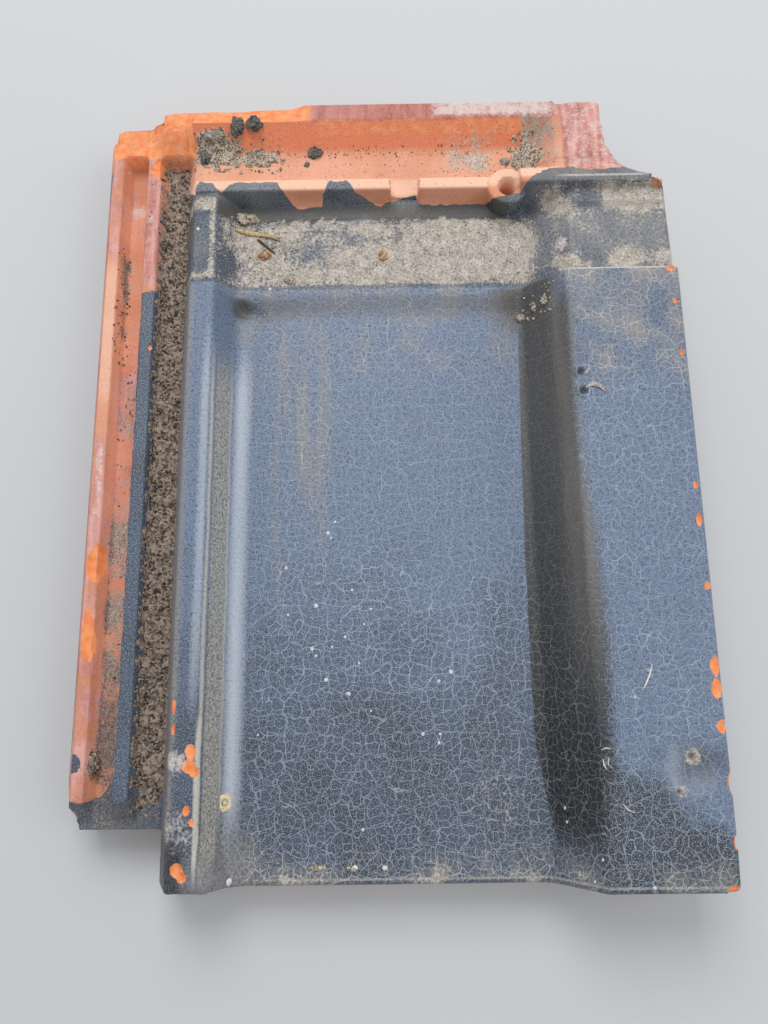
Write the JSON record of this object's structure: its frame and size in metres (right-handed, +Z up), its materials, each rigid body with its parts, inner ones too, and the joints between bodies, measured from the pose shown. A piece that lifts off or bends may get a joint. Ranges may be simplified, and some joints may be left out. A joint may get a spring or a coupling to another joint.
{
  "type": "interlocking clay roof tile",
  "caption": "Interlocking clay roof tile with a flat pan, a raised rib, a broad flat-topped cover roll, side and head interlocks and a nail hole.",
  "frame": {"origin": "on the ground, under the middle of the tile's plan", "axes": "+X across the tile towards the cover roll, +Y from the nose to the head, +Z up out of the weather face"},
  "size_m": [0.265, 0.35, 0.044],
  "materials": {
    "fired_clay": "crazed blue-black glaze on the exposed face, bare orange clay in the interlocks and underneath"
  },
  "bodies": {
    "root": {"roof_tile": "fired_clay"}
  },
  "joints": []
}
